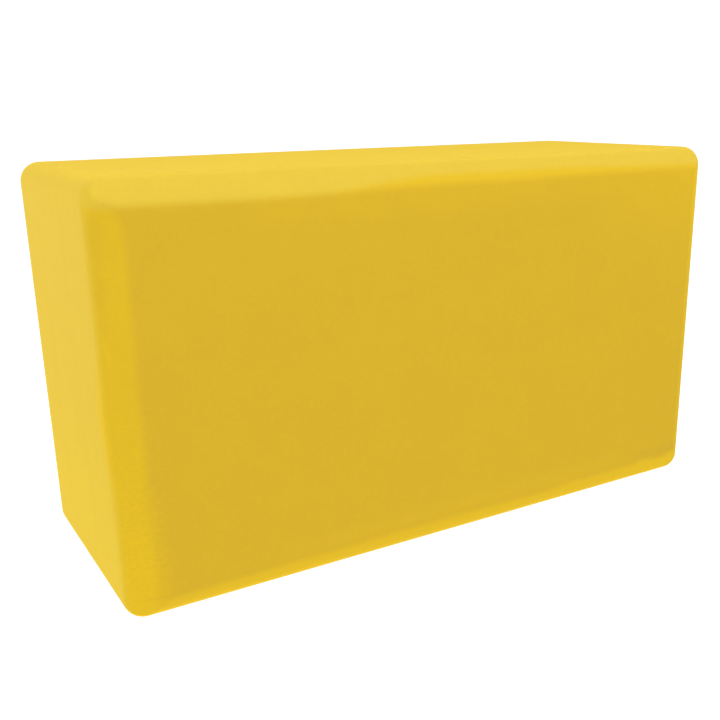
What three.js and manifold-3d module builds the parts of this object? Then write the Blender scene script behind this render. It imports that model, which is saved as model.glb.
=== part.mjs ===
// A foam yoga block: slabs of closed-cell EVA foam, bonded face to face, with every outer edge rounded over.
//
// Millimetres, +Z up. The block stands on one of its long narrow sides. X runs along its length, Y through
// its thickness from the front face to the rear face, and Z up its width. The origin is the middle of the base.

import * as THREE from 'three';
import { RoundedBoxGeometry } from 'three/addons/geometries/RoundedBoxGeometry.js';
import { mergeVertices } from 'three/addons/utils/BufferGeometryUtils.js';
import Module from 'manifold-3d';

// ---- Driving dimensions ----

const LENGTH = 229; // the whole block, along X
const THICKNESS = 89; // the whole block, along Y, through the slabs
const HEIGHT = 129; // the whole block, along Z

const EDGE_RADIUS = 6.5; // round-over of the twelve edges and eight corners
const EDGE_STEPS = 6; // flats from the middle of a rounded edge to its side

const BOND_THICKNESS = 0.25; // a glue line between two slabs
const BOND_INSET = 0.5; // how far a glue line stops short of the outside of the block

const SLABS = ['front_slab', 'core_slab', 'rear_slab'];
const BONDS = ['front_bond_film', 'rear_bond_film'];

const SLAB_THICKNESS = (THICKNESS - BONDS.length * BOND_THICKNESS) / SLABS.length;
const SLAB_PITCH = SLAB_THICKNESS + BOND_THICKNESS;
const CUT_MARGIN = 2; // how far a slab's cutting box stands outside the block on its uncut sides

// ---- Materials ----

const foam = () => new THREE.MeshStandardMaterial({ color: 0xe7bd2f, roughness: 0.6, metalness: 0 });
const adhesive = () => new THREE.MeshStandardMaterial({ color: 0xd9c07a, roughness: 0.4, metalness: 0 });

// ---- Solids ----

const wasm = await Module();
wasm.setup();

function solidFrom(geometry) {
  const bare = geometry.clone();
  bare.deleteAttribute('normal');
  bare.deleteAttribute('uv');
  const merged = mergeVertices(bare);
  return new wasm.Manifold(new wasm.Mesh({
    numProp: 3,
    vertProperties: Float32Array.from(merged.attributes.position.array),
    triVerts: Uint32Array.from(merged.index.array),
  }));
}

function geometryFrom(solid) {
  const mesh = solid.getMesh();
  const geometry = new THREE.BufferGeometry();
  geometry.setAttribute('position', new THREE.BufferAttribute(mesh.vertProperties, 3));
  geometry.setIndex(new THREE.BufferAttribute(mesh.triVerts, 1));
  geometry.computeVertexNormals();
  return geometry;
}

// The outside of the finished block, which was rounded over after the slabs were bonded.
const envelope = solidFrom(new RoundedBoxGeometry(LENGTH, THICKNESS, HEIGHT, EDGE_STEPS, EDGE_RADIUS));

// One slab is the stretch of the block behind the plane y = front. An outer slab carries its face's rounded
// edges; the middle one has flat sides and only the round-over of the four edges that run along Y.
function slabGeometry(index, front) {
  const isFirst = index === 0;
  const isLast = index === SLABS.length - 1;
  const low = isFirst ? front - CUT_MARGIN : front;
  const high = front + SLAB_THICKNESS + (isLast ? CUT_MARGIN : 0);
  const cut = new THREE.BoxGeometry(LENGTH + 2 * CUT_MARGIN, high - low, HEIGHT + 2 * CUT_MARGIN);
  cut.translate(0, (low + high) / 2, 0);
  return geometryFrom(envelope.intersect(solidFrom(cut)));
}

// A rounded rectangle in the plane of the slabs' broad faces.
function roundedOutline(width, height, radius) {
  const x = width / 2 - radius;
  const y = height / 2 - radius;
  const quarter = Math.PI / 2;
  const outline = new THREE.Shape();
  outline.absarc(x, y, radius, 0, quarter);
  outline.absarc(-x, y, radius, quarter, 2 * quarter);
  outline.absarc(-x, -y, radius, 2 * quarter, 3 * quarter);
  outline.absarc(x, -y, radius, 3 * quarter, 4 * quarter);
  return outline;
}

// A glue line is a thin sheet between two slabs, held back from the outside all the way round.
function bondGeometry(front) {
  const outline = roundedOutline(
    LENGTH - 2 * BOND_INSET,
    HEIGHT - 2 * BOND_INSET,
    EDGE_RADIUS - BOND_INSET,
  );
  const sheet = new THREE.ExtrudeGeometry(outline, {
    depth: BOND_THICKNESS,
    bevelEnabled: false,
    curveSegments: 2 * EDGE_STEPS,
  });
  sheet.rotateX(Math.PI / 2);
  sheet.translate(0, front + BOND_THICKNESS, 0);
  return sheet;
}

// ---- Assembly ----

const block = new THREE.Group();
block.name = 'foam_yoga_block';

function addPiece(name, geometry, material) {
  const mesh = new THREE.Mesh(geometry, material);
  mesh.name = name;
  mesh.position.z = HEIGHT / 2;
  block.add(mesh);
}

SLABS.forEach((name, index) => {
  const front = -THICKNESS / 2 + index * SLAB_PITCH;
  addPiece(name, slabGeometry(index, front), foam());
});

BONDS.forEach((name, index) => {
  const front = -THICKNESS / 2 + SLAB_THICKNESS + index * SLAB_PITCH;
  addPiece(name, bondGeometry(front), adhesive());
});

export default block;
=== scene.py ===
import math

import bpy
import numpy as np
from mathutils import Matrix, Vector


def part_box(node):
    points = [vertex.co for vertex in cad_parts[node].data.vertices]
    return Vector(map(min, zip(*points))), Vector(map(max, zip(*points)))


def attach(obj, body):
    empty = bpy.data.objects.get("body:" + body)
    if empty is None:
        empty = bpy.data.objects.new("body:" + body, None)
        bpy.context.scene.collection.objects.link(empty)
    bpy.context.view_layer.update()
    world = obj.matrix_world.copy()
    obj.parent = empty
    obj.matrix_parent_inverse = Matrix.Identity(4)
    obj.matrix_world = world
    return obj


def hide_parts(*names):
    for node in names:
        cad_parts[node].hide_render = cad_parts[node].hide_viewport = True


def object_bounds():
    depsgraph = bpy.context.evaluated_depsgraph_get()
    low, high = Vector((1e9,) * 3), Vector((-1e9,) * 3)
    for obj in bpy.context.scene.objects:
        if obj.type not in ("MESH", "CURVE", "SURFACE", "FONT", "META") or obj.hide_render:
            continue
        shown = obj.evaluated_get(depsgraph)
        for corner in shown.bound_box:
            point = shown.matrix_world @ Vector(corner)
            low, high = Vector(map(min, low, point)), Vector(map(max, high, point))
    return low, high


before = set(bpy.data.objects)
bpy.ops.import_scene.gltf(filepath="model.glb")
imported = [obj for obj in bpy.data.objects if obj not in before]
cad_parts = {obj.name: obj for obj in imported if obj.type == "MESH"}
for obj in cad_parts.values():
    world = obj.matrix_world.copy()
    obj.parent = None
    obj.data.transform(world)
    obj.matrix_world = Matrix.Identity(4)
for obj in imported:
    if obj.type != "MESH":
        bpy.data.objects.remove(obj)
cad_low, cad_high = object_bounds()

# A yellow foam yoga block: three slabs of closed-cell EVA foam, glued face to face, with every outer edge
# rounded over, and the edges of its two broad faces eased. Metres, in the row frame: X along the length,
# Y from the front face to the rear face, Z up from the base.

MM = 0.001
LOW = np.array(cad_low)
HIGH = np.array(cad_high)
CENTRE = (LOW + HIGH) / 2
EDGE_RADIUS = 6.5 * MM

SLABS = ("front_slab", "core_slab", "rear_slab")
BONDS = ("front_bond_film", "rear_bond_film")


# ---- Small helpers ----


def smooth_step(values, start, end):
    """0 up to the start, 1 from the end on, and a smooth rise between them."""
    part = np.clip((values - start) / (end - start), 0, 1)
    return part * part * (3 - 2 * part)


def bump(values, middle, spread):
    """1 at the middle, falling away smoothly to each side."""
    return np.exp(-(((values - middle) / spread) ** 2))


def soft_ramp(values, softness):
    """The values where they are above 0, and 0 where they aren't, with the bend between them rounded off."""
    return (values + np.sqrt(values * values + softness**2)) / 2


def waves(points, seed, wavelengths):
    """A slow, seeded unevenness between -1 and 1 that runs through the whole block."""
    draw = np.random.default_rng(seed)
    total = np.zeros(len(points))
    for wavelength in wavelengths:
        for _ in range(3):
            direction = draw.normal(size=3)
            direction /= np.linalg.norm(direction)
            phase = draw.uniform(0, 2 * math.pi)
            total += np.sin(points @ direction * 2 * math.pi / wavelength + phase) * wavelength
    return total / (3 * sum(wavelengths))


# ---- Lattice that a slab's mesh is made on ----

FLAT_PITCH = 1.6 * MM  # mesh spacing across the flats
EASED_PITCH = 0.6 * MM  # mesh spacing near the edges of a broad face
EASED_REACH = 15 * MM  # how far in from the outside that spacing runs
ARC_LINES = 9  # mesh lines from the flat to the middle of a rounded edge


def even_lines(start, end, pitch):
    steps = max(1, round((end - start) / pitch))
    return list(np.linspace(start, end, steps + 1))


def flat_lines(start, end, is_broad):
    """Mesh lines across a flat, closer together near its ends where it is a broad face's."""
    if not is_broad:
        return even_lines(start, end, FLAT_PITCH)
    reach = EASED_REACH - EDGE_RADIUS
    return [
        *even_lines(start, start + reach, EASED_PITCH)[:-1],
        *even_lines(start + reach, end - reach, FLAT_PITCH),
        *even_lines(end - reach, end, EASED_PITCH)[1:],
    ]


def arc_lines(extra=()):
    """Distances from the flat's end to each mesh line of a rounded edge, at equal angles round the arc."""
    angles = np.arange(1, ARC_LINES + 1) * math.radians(45) / ARC_LINES
    return sorted([*(EDGE_RADIUS * np.tan(angles)), *extra])


def axis_lines(low, high, rounded_low, rounded_high, extra=()):
    """Mesh lines along one axis, from the low side to the high side."""
    arc = arc_lines(extra)
    start = low + EDGE_RADIUS if rounded_low else low
    end = high - EDGE_RADIUS if rounded_high else high
    before = [start - step for step in reversed(arc)] if rounded_low else []
    after = [end + step for step in arc] if rounded_high else []
    return [*before, *flat_lines(start, end, rounded_low and rounded_high), *after]


def lattice_shell(lines):
    """The vertices and outward-facing quads on the outside of a lattice of lines along X, Y and Z."""
    counts = [len(axis) for axis in lines]
    quads = []
    for axis in range(3):
        u, v = (axis + 1) % 3, (axis + 2) % 3
        cells = np.meshgrid(np.arange(counts[u] - 1), np.arange(counts[v] - 1), indexing="ij")
        for side in (0, counts[axis] - 1):
            corners = []
            for step_u, step_v in ((0, 0), (1, 0), (1, 1), (0, 1)):
                index = [None, None, None]
                index[axis] = np.full_like(cells[0], side)
                index[u] = cells[0] + step_u
                index[v] = cells[1] + step_v
                corners.append(np.ravel_multi_index(index, counts).ravel())
            quad = np.stack(corners, axis=1)
            quads.append(quad if side else quad[:, ::-1])
    keys, flat = np.unique(np.concatenate(quads), return_inverse=True)
    index = np.unravel_index(keys, counts)
    points = np.stack([np.array(lines[k])[index[k]] for k in range(3)], axis=1)
    return points, flat.reshape(-1, 4)


# ---- Round-over ----


def outward(points):
    """Each point's offset from the box that the rounded edges are centred on."""
    return points - np.clip(points, LOW + EDGE_RADIUS, HIGH - EDGE_RADIUS)


def round_over(points):
    """Pulls a box's edges and corners in to arcs. Inside the box, the lines bend with the outline."""
    out = outward(points)
    length = np.linalg.norm(out, axis=1)
    reach = np.abs(out).max(axis=1)
    scale = np.divide(reach, length, out=np.ones_like(length), where=length > 0)
    return points - out + out * scale[:, None]


def outline_depth(points):
    """How far each point lies inside the outline of the block's broad face."""
    half = (HIGH - LOW) / 2 - EDGE_RADIUS
    past = np.abs(points - CENTRE)[:, [0, 2]] - half[[0, 2]]
    beyond = np.linalg.norm(np.maximum(past, 0), axis=1)
    within = np.minimum(past.max(axis=1), 0)
    return EDGE_RADIUS - beyond - within


# ---- Eased edges of the broad faces ----

# Each broad face falls away from a soft crease to its rounded edge, in a strip along each side. The strip
# is steepest along the top.

# Side: distance from the outside to the crease, tangent of the strip's angle, and how burnished it is, that
# burnished colour being partly painted light.
EASED_SIDES = {
    "left": (9.3 * MM, 0.30, 0.6),
    "right": (5.2 * MM, 0.30, 0.6),
    "top": (7.5 * MM, 0.55, 0.4),
    "base": (6.6 * MM, 0.30, 0.6),
}
CREASE_SOFTNESS = 1.3 * MM  # how far to each side of a crease its bend reaches
STRIP_WAVER = 0.4 * MM
STRIP_WAVELENGTHS = (90 * MM, 40 * MM)
MITRE = 4  # how tightly two strips meet at a corner


def distances_in(points):
    """Each point's distance in from the four sides of a broad face."""
    return {
        "left": points[:, 0] - LOW[0],
        "right": HIGH[0] - points[:, 0],
        "base": points[:, 2] - LOW[2],
        "top": HIGH[2] - points[:, 2],
    }


def crease_distances(inset, is_front):
    """How far in from each side its crease runs, at each point. On the front face it varies on two sides."""
    creases = {side: crease for side, (crease, _, _) in EASED_SIDES.items()}
    if not is_front:
        return creases
    in_base, in_right = inset["base"], inset["right"]
    narrow_at_top = 2.4 * MM * (1 - smooth_step(inset["top"], 7 * MM, 14 * MM))
    wide_at_base = 3.0 * MM * (1 - smooth_step(in_base, 8 * MM, 45 * MM))
    creases["left"] = creases["left"] - narrow_at_top + wide_at_base
    # Near the right end, the strip along the base is wider, and wider still at two places.
    creases["base"] = (
        creases["base"]
        + 0.8 * MM * (1 - smooth_step(in_right, 58 * MM, 76 * MM))
        + 1.2 * MM * bump(in_right, 22 * MM, 4.5 * MM)
        + 1.7 * MM * bump(in_right, 6 * MM, 4 * MM)
    )
    return creases


def eased_sink(behind_face, inset, creases):
    """How far the easing sinks each point in behind its broad face."""
    total = 0
    for side, (_, slope, _) in EASED_SIDES.items():
        past_crease = (creases[side] - inset[side]) * slope
        strip = soft_ramp(past_crease - behind_face, CREASE_SOFTNESS * slope)
        total = total + strip**MITRE
    return total ** (1 / MITRE) * (behind_face < 2 * EDGE_RADIUS)


# ---- Tone of the surface ----

# The sides have a paler tone, as if sawn through the cells, that is partly painted sheen standing in for the
# whitish reflection on the top and ends. The broad faces are smooth, and the eased strips are burnished and,
# partly as painted light, lighter. The pale tone ends a little way round each rounded edge, except along the
# top of the front face, where it runs out over the eased strip as painted light from above.

SAWN_AND_SHEEN_END = -3.9 * MM  # distance in less distance behind the face, where the pale tone ends
SAWN_AND_SHEEN_FADE = 0.9 * MM
END_FADE = 4.5 * MM
TOP_FADE = 1.6 * MM
BURNISHED_AND_LIT_FADE = 1.5 * MM


def sawn_and_sheen_tone(points, behind_face, inset, is_front):
    """1 where the surface is sawn, 0 where it is a broad face or an eased strip. The pale sawn colour is
    partly painted sheen, and along the front's top it runs over the strip as painted light.
    """
    tone = np.zeros(len(points))
    for side, distance_in in inset.items():
        end, fade = SAWN_AND_SHEEN_END, SAWN_AND_SHEEN_FADE
        if side == "left" and is_front:
            end, fade = end - 6.5 * MM * bump(points[:, 2], 62 * MM, 14 * MM), END_FADE
        if side == "top" and is_front:
            end = 8.0 * MM - 3.6 * MM * smooth_step(inset["left"], 62 * MM, 110 * MM)
            end = end + 1.6 * MM * smooth_step(inset["left"], 150 * MM, 215 * MM)
            fade = TOP_FADE
        if side == "top":
            around = distance_in - behind_face * (distance_in < EDGE_RADIUS)
        else:
            around = distance_in - behind_face
        tone = np.maximum(tone, 1 - smooth_step(around, end - fade, end + fade))
    return tone


def burnished_and_lit_tone(inset, creases):
    """1 on the most burnished strips, 0 on the rest of a broad face. The burnished colour is partly painted
    light.
    """
    tone = 0
    for side, (_, _, burnish_and_light) in EASED_SIDES.items():
        past_crease = creases[side] - inset[side]
        fade = BURNISHED_AND_LIT_FADE
        if side == "left":
            fade = fade + 3.0 * MM * (1 - smooth_step(inset["base"], 20 * MM, 60 * MM))
        tone = np.maximum(tone, burnish_and_light * smooth_step(past_crease, -fade, fade))
    return tone


def painted_light_tone(points, inset):
    """Painted light and shade: above 0 where painted light brightens the foam, and below 0 where painted
    shade darkens it.
    """
    in_left, in_right, in_base, in_top = (inset[side] for side in ("left", "right", "base", "top"))

    # Painted light: low on the left where the floor's glow falls, below the top right corner, beside the
    # creases, a painted highlight in the front's top left corner, and along the base near the right end.
    low_left = (1 - smooth_step(in_base, 10 * MM, 75 * MM)) * (1 - smooth_step(in_left, 6.5 * MM, 11.5 * MM))
    top_right = (1 - smooth_step(in_top, 10 * MM, 50 * MM)) * (1 - smooth_step(in_right, 0, 75 * MM))
    top_right = 1.3 * top_right * smooth_step(in_top, 6 * MM, 10 * MM)
    by_creases = np.maximum(0.7 * bump(in_top, 12 * MM, 5 * MM), 0.6 * bump(in_base, 10.5 * MM, 4 * MM))
    by_creases = by_creases * smooth_step(in_left, 35 * MM, 60 * MM) * smooth_step(in_right, 10 * MM, 40 * MM)
    top_left = smooth_step(in_left, 0, 0.8 * MM) * (1 - smooth_step(in_left, 1.0 * MM, 5.5 * MM))
    top_left = 1.4 * top_left * bump(in_top, 5.5 * MM, 3.8 * MM)
    top_left = top_left * (1 - smooth_step(points[:, 1] - LOW[1], 3 * MM, 7 * MM))
    painted_base_light = 0.4 * (1 - smooth_step(in_right, 28 * MM, 45 * MM)) * (1 - smooth_step(in_base, 6 * MM, 9 * MM))

    # Painted shade: a shadow band just above the base near the right end, and high on the left end's strip,
    # dimming the highlight on its arc.
    painted_shade = 0.8 * bump(in_base, 11 * MM, 2.2 * MM) * (1 - smooth_step(in_right, 15 * MM, 42 * MM))
    high_left = smooth_step(in_base, 80 * MM, 100 * MM) * smooth_step(in_top, 4 * MM, 10 * MM)
    painted_shade = painted_shade + 0.7 * bump(in_left, 2.2 * MM, 1.8 * MM) * high_left
    return np.maximum.reduce([low_left, top_left, top_right, by_creases, painted_base_light]) - painted_shade


def rough_tone(inset):
    """Where the smooth front is roughened: near its lower left corner, and faintly along its left end."""
    in_left, in_base = inset["left"], inset["base"]
    low_left = smooth_step(in_base, 4 * MM, 16 * MM) * (1 - smooth_step(in_base, 30 * MM, 85 * MM))
    low_left = low_left * (1 - smooth_step(in_left, 11 * MM, 19 * MM))
    along_left = 0.2 * (1 - smooth_step(in_left, 25 * MM, 90 * MM))
    return np.maximum(low_left, along_left)


# ---- Slabs ----

LIP_WIDTH = 0.38 * MM  # foam that closes over the end of a glue line
LIP_SLOPE = 0.08 * MM  # how far the lip takes to fall back to the glue line's face
HAIRLINE = 0.004 * MM  # gap left between two lips
JOINT_WIDTH = 0.08 * MM  # how far the broken edge of a lip runs back from the joint
JOINT_DEPTH = 0.01 * MM
ON_OUTLINE = 0.001 * MM  # a point less deep than this lies on the outline

FACE_WAVE = 0.035 * MM  # how far the faces are out of flat
FACE_WAVELENGTHS = (70 * MM, 38 * MM, 21 * MM)


def slab_mesh(name):
    """A slab's vertices and quads, and the tone of its surface at each vertex."""
    low, high = (np.array(corner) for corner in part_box(name))
    is_front = name == SLABS[0]
    is_rear = name == SLABS[-1]
    lip_lines = (EDGE_RADIUS - LIP_WIDTH - LIP_SLOPE, EDGE_RADIUS - LIP_WIDTH)
    across = axis_lines(low[1], high[1], is_front, is_rear)
    if not is_front:
        across.insert(1, low[1] + JOINT_WIDTH)
    if not is_rear:
        across.insert(-1, high[1] - JOINT_WIDTH)
    points, quads = lattice_shell([
        axis_lines(low[0], high[0], True, True, lip_lines),
        across,
        axis_lines(low[2], high[2], True, True, lip_lines),
    ])
    at_joint = np.zeros(len(points))
    if not is_front:
        at_joint[np.isclose(points[:, 1], low[1])] = -1
    if not is_rear:
        at_joint[np.isclose(points[:, 1], high[1])] = 1
    points = round_over(points)

    # Everything on the outside follows the unevenness; the glued faces inside stay flat.
    depth = outline_depth(points)
    normal = outward(points)
    normal /= np.maximum(np.linalg.norm(normal, axis=1), 1e-9)[:, None]
    is_outside = (at_joint == 0) | (depth < ON_OUTLINE)
    shift = FACE_WAVE * (waves(points, 11, FACE_WAVELENGTHS) - 1)
    moved = points + normal * (shift * is_outside)[:, None]

    # The rim of a glued face reaches over the glue line to its neighbour, with its edge broken.
    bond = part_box(BONDS[0])
    reach = (bond[1].y - bond[0].y - HAIRLINE) / 2
    on_lip = (at_joint != 0) & (depth < LIP_WIDTH + LIP_SLOPE / 2)
    moved[:, 1] += at_joint * on_lip * reach
    on_edge = (at_joint != 0) & (depth < ON_OUTLINE)
    moved -= normal * (on_edge * JOINT_DEPTH)[:, None]

    inset = distances_in(points)
    tones = {"sawn_and_sheen": np.ones(len(points)), "burnished_and_lit": np.zeros(len(points))}
    # Painted light and shade, carried as a tone of the surface.
    tones["painted_light_and_shade"] = painted_light_tone(points, inset)
    tones["rough"] = rough_tone(inset)
    if is_front or is_rear:
        behind_face = points[:, 1] - LOW[1] if is_front else HIGH[1] - points[:, 1]
        waver = STRIP_WAVER * waves(points, 5 if is_front else 6, STRIP_WAVELENGTHS)
        inset = {side: distance_in + waver for side, distance_in in inset.items()}
        creases = crease_distances(inset, is_front)
        inward = 1 if is_front else -1
        moved[:, 1] += inward * eased_sink(behind_face, inset, creases)
        tones["sawn_and_sheen"] = sawn_and_sheen_tone(points, behind_face, inset, is_front)
        tones["burnished_and_lit"] = burnished_and_lit_tone(inset, creases)
    return moved, quads, tones


def make_piece(name, points, quads, tones):
    mesh = bpy.data.meshes.new(name)
    mesh.from_pydata(points.tolist(), [], quads.tolist())
    mesh.shade_smooth()
    for tone, values in tones.items():
        layer = mesh.attributes.new(tone, "FLOAT", "POINT")
        layer.data.foreach_set("value", values)
    piece = bpy.data.objects.new(name, mesh)
    bpy.context.scene.collection.objects.link(piece)
    return piece


# ---- Materials ----

FACE_COLOUR = (0.792, 0.509, 0.0322)
# The eased strips' colour: partly their own buffed, deeper yellow, and partly painted light, lighter than the
# face to stand in for the light the strips catch.
BURNISHED_AND_LIT_COLOUR = (0.915, 0.610, 0.0225)
# The sawn sides' colour: partly the paler foam cut through its cells, partly painted sheen, its raised blue
# standing in for the whitish reflection on the top and ends.
SAWN_AND_SHEEN_COLOUR = (0.832, 0.585, 0.0615)
# Full wear here is a full shift of the colour, both by real wear and by painted light and shade.
WEAR_AND_PAINTED_LIGHT = (0.05, 0.055, -0.08)  # how much of each colour full wear adds
MOTTLING = ((20 * MM, 0.4), (6 * MM, 0.3), (1.8 * MM, 0.35))  # size of the patches, and share of full wear
GRAIN_STRETCH = (1.8, 1.0, 1.0)  # the grain of the roughened foam runs along the block
CELL_DEPTH = 0.02 * MM  # relief of the open cells on the sawn sides

FOAM_IOR = 1.45
FOAM_SPECULAR = 0.03
SMOOTH_ROUGHNESS = 0.78
SAWN_ROUGHNESS_GAIN = 0.17
SMOOTH_CELLS = 0.3  # how open the cells are on the smooth faces, as a share of the sawn sides

THIN_GLUE = (0.60, 0.43, 0.14)
THICK_GLUE = (0.74, 0.56, 0.23)
GLUE_RELIEF = 0.02 * MM

# Marks on the front face: two lighter scuffs, and a dark line of painted shade by the base's crease near the
# left end, standing in for a shaded groove. Name: from the left end and from the base, for its two ends, then
# width, all in millimetres, and how much it brightens the foam, as a share of a full shift.
MARKS = {
    "nick": ((1.2, 89.5), (2.9, 76.5), 1.9, 1.5),
    "rub": ((17.6, 12.0), (17.2, 7.5), 0.7, 1.4),
    # Painted shade: a dark line where a groove would lie in shade.
    "groove_shade": ((3.5, 6.9), (12.5, 7.2), 1.0, -1.5),
}


def add_node(tree, kind, inputs=None, **settings):
    """Adds a shader node. Each input is a value, or another node's output."""
    node = tree.nodes.new("ShaderNode" + kind)
    for name, value in settings.items():
        setattr(node, name, value)
    for name, value in (inputs or {}).items():
        if isinstance(value, bpy.types.NodeSocket):
            tree.links.new(value, node.inputs[name])
        else:
            node.inputs[name].default_value = value
    return node


def calculate(tree, operation, first, second=0.0, third=0.0):
    return add_node(tree, "Math", {0: first, 1: second, 2: third}, operation=operation).outputs[0]


def tone_mask(tree, name):
    return add_node(tree, "Attribute", attribute_name=name).outputs["Fac"]


def unevenness(tree, position, size, strength):
    """Noise around 0, with patches of the given size, that stays within the given strength."""
    noise = add_node(tree, "TexNoise", {"Vector": position, "Scale": 1 / size, "Detail": 2.0})
    return calculate(tree, "MULTIPLY_ADD", noise.outputs["Fac"], 2 * strength, -strength)


def mark(tree, position, start, end, width):
    """1 along the middle of a straight mark on the front face, and 0 from its edge on."""
    (x1, z1), (x2, z2) = start, end
    middle = ((x1 + x2) / 2 * MM + LOW[0], LOW[1], (z1 + z2) / 2 * MM + LOW[2])
    turn = math.atan2(z1 - z2, x2 - x1)
    half_length = math.hypot(x2 - x1, z2 - z1) / 2 * MM
    place = add_node(tree, "Mapping", {
        "Vector": position,
        "Location": middle,
        "Rotation": (0, turn, 0),
        "Scale": (half_length, EDGE_RADIUS, width / 2 * MM),
    }, vector_type="TEXTURE")
    blob = add_node(tree, "TexGradient", {"Vector": place.outputs["Vector"]}, gradient_type="SPHERICAL")
    return blob.outputs["Fac"]


def foam_colour(tree, position, speckle):
    """The foam's colour: its tones, its wear and marks, its painted light and shade, and the mottling and
    grain of the foam itself.
    """
    stretched = add_node(tree, "VectorMath", {0: position, 1: GRAIN_STRETCH}, operation="DIVIDE")
    grain = unevenness(tree, stretched.outputs["Vector"], 0.8 * MM, 1.0)
    grain = calculate(tree, "MULTIPLY", grain, tone_mask(tree, "rough"))
    # How far each point takes the burnished colour, which is partly painted light.
    burnished_and_lit = calculate(tree, "MULTIPLY_ADD", grain, 0.28, tone_mask(tree, "burnished_and_lit"))
    smooth = add_node(tree, "Mix", {
        "Factor": burnished_and_lit, "A": (*FACE_COLOUR, 1), "B": (*BURNISHED_AND_LIT_COLOUR, 1),
    }, data_type="RGBA")
    # Mix in the pale sawn colour, which is partly painted sheen.
    toned = add_node(tree, "Mix", {
        "Factor": tone_mask(tree, "sawn_and_sheen"), "A": smooth.outputs["Result"], "B": (*SAWN_AND_SHEEN_COLOUR, 1),
    }, data_type="RGBA")

    # Starts from the painted light and shade, then adds the mottling and the marks.
    wear_and_painted_light = tone_mask(tree, "painted_light_and_shade")
    for size, strength in MOTTLING:
        wear_and_painted_light = calculate(tree, "ADD", wear_and_painted_light, unevenness(tree, position, size, strength))
    for start, end, width, strength in MARKS.values():
        wear_and_painted_light = calculate(tree, "MULTIPLY_ADD", mark(tree, position, start, end, width), strength, wear_and_painted_light)
    gain = add_node(tree, "VectorMath", {0: wear_and_painted_light, 1: WEAR_AND_PAINTED_LIGHT, 2: (1, 1, 1)}, operation="MULTIPLY_ADD")
    # The colour with its painted light and shade, mottling and marks applied.
    painted_light_and_shade = add_node(tree, "VectorMath", {
        0: toned.outputs["Result"], 1: gain.outputs["Vector"],
    }, operation="MULTIPLY")

    shade = calculate(tree, "MULTIPLY_ADD", speckle, 0.016, 1.0)
    shade = calculate(tree, "MULTIPLY_ADD", grain, 0.03, shade)
    return add_node(tree, "VectorMath", {
        0: painted_light_and_shade.outputs["Vector"], "Scale": shade,
    }, operation="SCALE").outputs["Vector"]


def foam_material():
    material = bpy.data.materials.new("eva_foam")
    material.use_nodes = True
    tree = material.node_tree
    shader = tree.nodes["Principled BSDF"]
    shader.inputs["IOR"].default_value = FOAM_IOR
    shader.inputs["Specular IOR Level"].default_value = FOAM_SPECULAR
    position = add_node(tree, "TexCoord").outputs["Object"]
    speckle = unevenness(tree, position, 0.9 * MM, 1.0)
    tree.links.new(foam_colour(tree, position, speckle), shader.inputs["Base Color"])

    # Smooth faces are a little less matt than the sawn sides, and neither is quite even.
    matt = calculate(
        tree, "MULTIPLY_ADD", tone_mask(tree, "sawn_and_sheen"), SAWN_ROUGHNESS_GAIN, SMOOTH_ROUGHNESS,
    )
    matt = calculate(tree, "ADD", matt, unevenness(tree, position, 4 * MM, 0.08))
    tree.links.new(matt, shader.inputs["Roughness"])

    # Cells: open and deep on the sawn sides, closed and shallow on the smooth faces.
    cells = add_node(tree, "TexVoronoi", {"Vector": position, "Scale": 1 / (0.8 * MM)}).outputs["Distance"]
    openness = calculate(tree, "MULTIPLY_ADD", tone_mask(tree, "sawn_and_sheen"), 1 - SMOOTH_CELLS, SMOOTH_CELLS)
    relief = calculate(tree, "MULTIPLY", cells, openness)
    relief = calculate(tree, "MULTIPLY_ADD", speckle, 0.15, relief)
    surface = add_node(tree, "Bump", {"Height": relief, "Distance": CELL_DEPTH, "Strength": 1.0})
    tree.links.new(surface.outputs["Normal"], shader.inputs["Normal"])
    return material


def glue_material():
    """Contact adhesive, rolled on thin: a webbed, uneven film."""
    material = bpy.data.materials.new("contact_adhesive")
    material.use_nodes = True
    tree = material.node_tree
    shader = tree.nodes["Principled BSDF"]
    position = add_node(tree, "TexCoord").outputs["Object"]
    web = add_node(tree, "TexVoronoi", {
        "Vector": position, "Scale": 1 / (3 * MM),
    }, feature="DISTANCE_TO_EDGE").outputs["Distance"]
    patches = calculate(tree, "ADD", web, unevenness(tree, position, 12 * MM, 0.5))
    colour = add_node(tree, "Mix", {
        "Factor": patches, "A": (*THICK_GLUE, 1), "B": (*THIN_GLUE, 1),
    }, data_type="RGBA")
    tree.links.new(colour.outputs["Result"], shader.inputs["Base Color"])
    tree.links.new(calculate(tree, "MULTIPLY_ADD", patches, 0.15, 0.40), shader.inputs["Roughness"])
    surface = add_node(tree, "Bump", {"Height": patches, "Distance": GLUE_RELIEF, "Strength": 1.0})
    tree.links.new(surface.outputs["Normal"], shader.inputs["Normal"])
    return material


def white_material(name, colour, glow):
    material = bpy.data.materials.new(name)
    material.use_nodes = True
    shader = material.node_tree.nodes["Principled BSDF"]
    shader.inputs["Base Color"].default_value = (*colour, 1)
    shader.inputs["Roughness"].default_value = 0.9
    shader.inputs["Specular IOR Level"].default_value = 0.0
    shader.inputs["Emission Color"].default_value = (1, 1, 1, 1)
    shader.inputs["Emission Strength"].default_value = glow
    return material


# ---- Studio ----

FLOOR_SIZE = 6.0
FLOOR_DROP = 0.1 * MM
FLOOR_COLOUR = (0.15, 0.15, 0.15)
FLOOR_GLOW = 1.11
SKY_FILL = 0.14  # light that the sky gives the block
SKY_SEEN = 1.05  # brightness of the sky as the camera sees it

SOFTBOX_SIZE = 0.6
SOFTBOX_DISTANCE = 0.9
# Name, compass angle from the front face (90 is the block's right end), height angle, and power in watts.
SOFTBOXES = (
    ("front_left_softbox", 300, 60, 4.11),
    ("front_right_softbox", 60, 60, 4.41),
    ("rear_left_softbox", 210, 12, 3.65),
)

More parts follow.
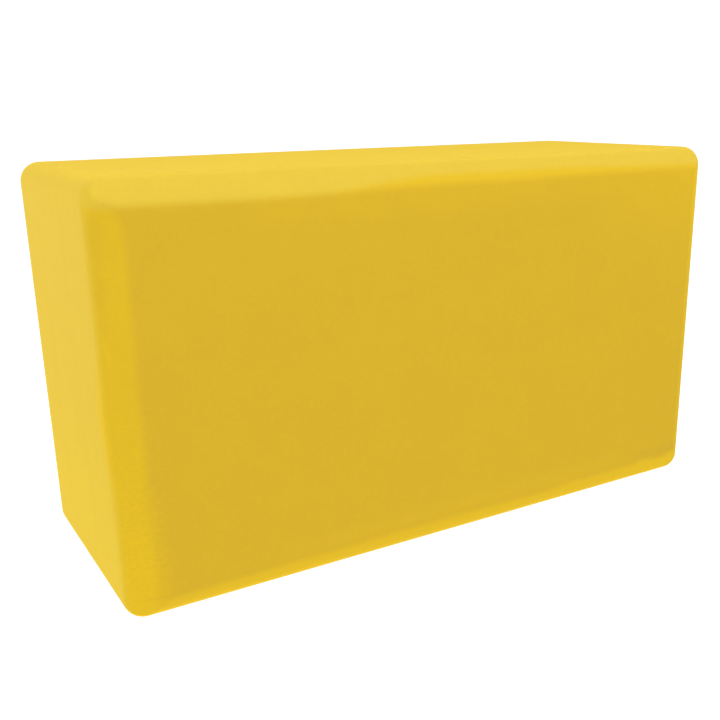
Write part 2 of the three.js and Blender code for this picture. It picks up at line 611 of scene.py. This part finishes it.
SENSOR_WIDTH = 36  # the camera's, in millimetres, as is its lens
LENS = 46.76
CAMERA_SHIFT = (-0.0556, 0.0383)
CAMERA_OFFSET = (-172.37, -290.83, 82.31)  # from the middle of the block, in millimetres
CAMERA_HEADING = 31.505  # degrees to the right of straight at the front face
CAMERA_PITCH = -17.085
CAMERA_ROLL = -0.677


def make_floor():
    half = FLOOR_SIZE / 2
    corners = [(-half, -half), (half, -half), (half, half), (-half, half)]
    mesh = bpy.data.meshes.new("floor")
    mesh.from_pydata([(x, y, LOW[2] - FLOOR_DROP) for x, y in corners], [], [(0, 1, 2, 3)])
    floor = bpy.data.objects.new("floor", mesh)
    bpy.context.scene.collection.objects.link(floor)
    mesh.materials.append(white_material("pale_floor", FLOOR_COLOUR, FLOOR_GLOW))


def make_softbox(name, compass, height, power):
    light = bpy.data.lights.new(name, "AREA")
    light.shape = "SQUARE"
    light.size = SOFTBOX_SIZE
    light.energy = power
    softbox = bpy.data.objects.new(name, light)
    bpy.context.scene.collection.objects.link(softbox)
    around, up = math.radians(compass), math.radians(height)
    direction = Vector((
        math.sin(around) * math.cos(up),
        -math.cos(around) * math.cos(up),
        math.sin(up),
    ))
    softbox.location = Vector(CENTRE) + direction * SOFTBOX_DISTANCE
    softbox.rotation_euler = (-direction).to_track_quat("-Z", "Y").to_euler()
    softbox.visible_camera = False


def make_camera():
    """Looks at the block from its front left corner, a little above its top."""
    camera = bpy.data.cameras.new("camera")
    camera.sensor_width = SENSOR_WIDTH
    camera.lens = LENS
    camera.shift_x, camera.shift_y = CAMERA_SHIFT
    camera.clip_start = 0.01
    holder = bpy.data.objects.new("camera", camera)
    bpy.context.scene.collection.objects.link(holder)
    turn = (
        Matrix.Rotation(-math.radians(CAMERA_HEADING), 4, "Z")
        @ Matrix.Rotation(math.pi / 2 + math.radians(CAMERA_PITCH), 4, "X")
        @ Matrix.Rotation(math.radians(CAMERA_ROLL), 4, "Z")
    )
    place = Vector(CENTRE) + Vector(CAMERA_OFFSET) * MM
    holder.matrix_world = Matrix.Translation(place) @ turn
    bpy.context.scene.camera = holder


def make_world():
    world = bpy.data.worlds.new("studio")
    bpy.context.scene.world = world
    world.use_nodes = True
    nodes, links = world.node_tree.nodes, world.node_tree.links
    background = nodes["Background"]
    background.inputs["Color"].default_value = (1, 1, 1, 1)
    background.inputs["Strength"].default_value = SKY_FILL
    seen = nodes.new("ShaderNodeBackground")
    seen.inputs["Color"].default_value = (1, 1, 1, 1)
    seen.inputs["Strength"].default_value = SKY_SEEN
    path = nodes.new("ShaderNodeLightPath")
    mix = nodes.new("ShaderNodeMixShader")
    links.new(path.outputs["Is Camera Ray"], mix.inputs["Fac"])
    links.new(background.outputs["Background"], mix.inputs[1])
    links.new(seen.outputs["Background"], mix.inputs[2])
    links.new(mix.outputs["Shader"], nodes["World Output"].inputs["Surface"])


glue = glue_material()
for bond in BONDS:
    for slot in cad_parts[bond].material_slots:
        slot.material = glue

foam = foam_material()
for slab in SLABS:
    piece = make_piece(slab + "_foam", *slab_mesh(slab))
    piece.data.materials.append(foam)
    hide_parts(slab)
    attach(piece, "root")

make_floor()
make_world()
for softbox in SOFTBOXES:
    make_softbox(*softbox)
make_camera()
bpy.context.scene.view_settings.view_transform = "Standard"
